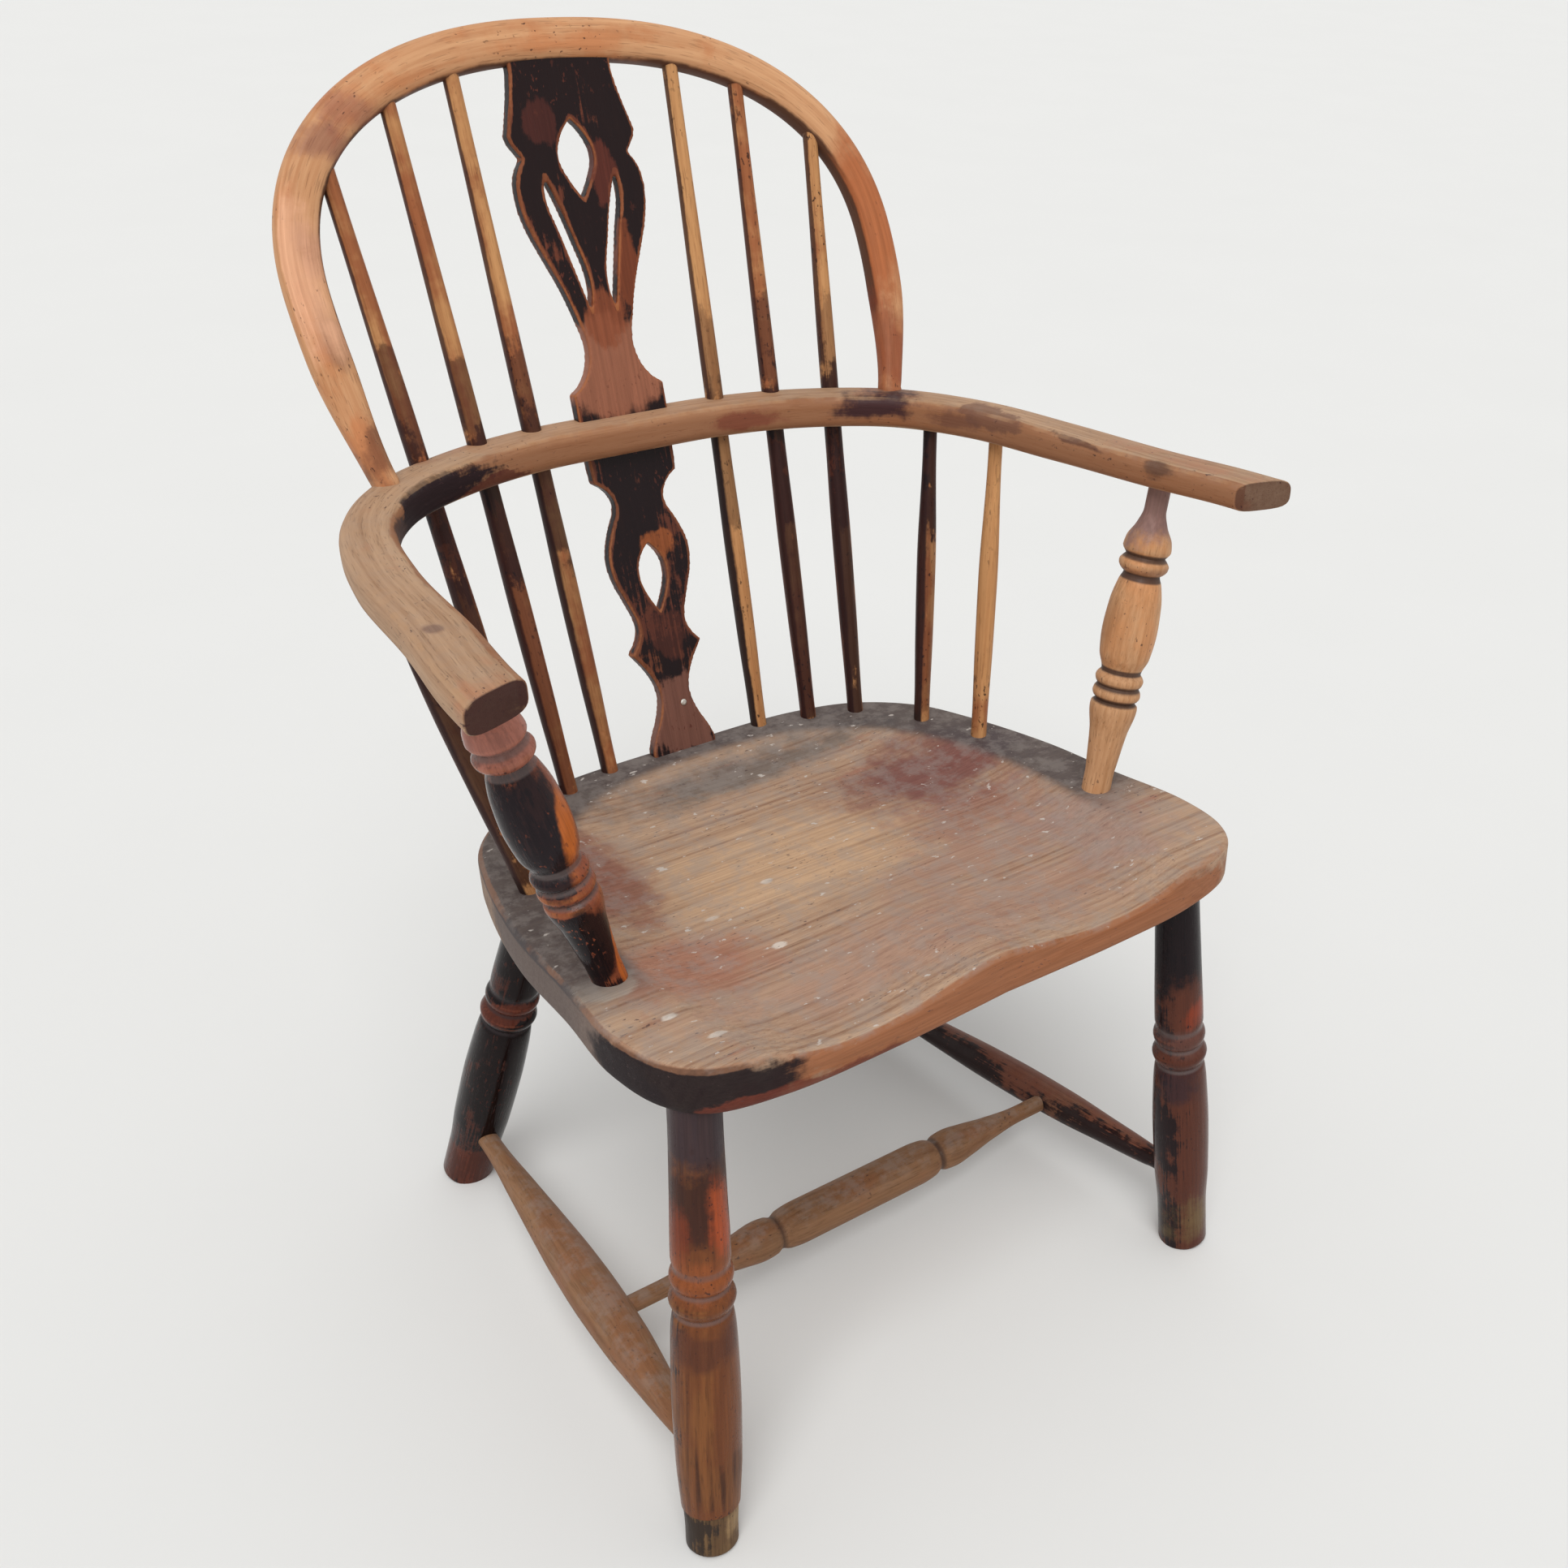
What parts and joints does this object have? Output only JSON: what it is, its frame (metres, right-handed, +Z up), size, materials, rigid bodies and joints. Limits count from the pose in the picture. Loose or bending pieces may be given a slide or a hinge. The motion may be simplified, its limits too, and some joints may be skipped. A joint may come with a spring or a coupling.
{
  "type": "windsor elbow chair",
  "caption": "Low-back wooden elbow chair: saddled board seat, bent hoop and arm bow on sticks, pierced splat, turned arm posts and legs tied by stretchers, dark stain worn to bare wood.",
  "frame": {"origin": "on the floor, under the middle of the chair's box", "axes": "+Z up, the chair faces -Y, +X to the right as seen from the front"},
  "size_m": [0.63, 0.5542, 0.9071],
  "materials": {
    "worn_elm_seat": "matt bare elm, dark varnish left at the rim",
    "worn_hoop": "satin honey brown, worn through purple-brown stain",
    "worn_arm": "satin grey-tan top, orange-brown sides",
    "dark_splat": "satin near-black stain with red-brown wear",
    "patchy_sticks": "satin red-brown, black on one side and honey on the other",
    "stained_posts": "semi-gloss red-brown with dusty grooves",
    "stained_front_legs": "satin red-brown, worn orange, dusty rings",
    "dark_back_legs": "satin near-black with red-brown mottling",
    "worn_stretchers": "matt grey-tan, evenly worn",
    "bare_foot_tip": "matt bare grey-brown repair wood",
    "bright_nail": "bright small nail head"
  },
  "bodies": {
    "root": {"arm_bow": "worn_arm", "arm_post_left": "stained_posts", "arm_post_right": "stained_posts", "cross_stretcher": "worn_stretchers", "foot_tip_front_left": "bare_foot_tip", "hoop_back": "worn_hoop", "leg_back_left": "dark_back_legs", "leg_back_right": "dark_back_legs", "leg_front_left": "stained_front_legs", "leg_front_right": "stained_front_legs", "long_stick_left_1": "patchy_sticks", "long_stick_left_2": "patchy_sticks", "long_stick_left_3": "patchy_sticks", "long_stick_right_1": "patchy_sticks", "long_stick_right_2": "patchy_sticks", "long_stick_right_3": "patchy_sticks", "lower_splat": "dark_splat", "seat": "worn_elm_seat", "short_stick_left_1": "patchy_sticks", "short_stick_left_2": "patchy_sticks", "short_stick_right_1": "patchy_sticks", "short_stick_right_2": "patchy_sticks", "side_stretcher_left": "worn_stretchers", "side_stretcher_right": "worn_stretchers", "splat_nail": "bright_nail", "upper_splat": "dark_splat"}
  },
  "joints": []
}
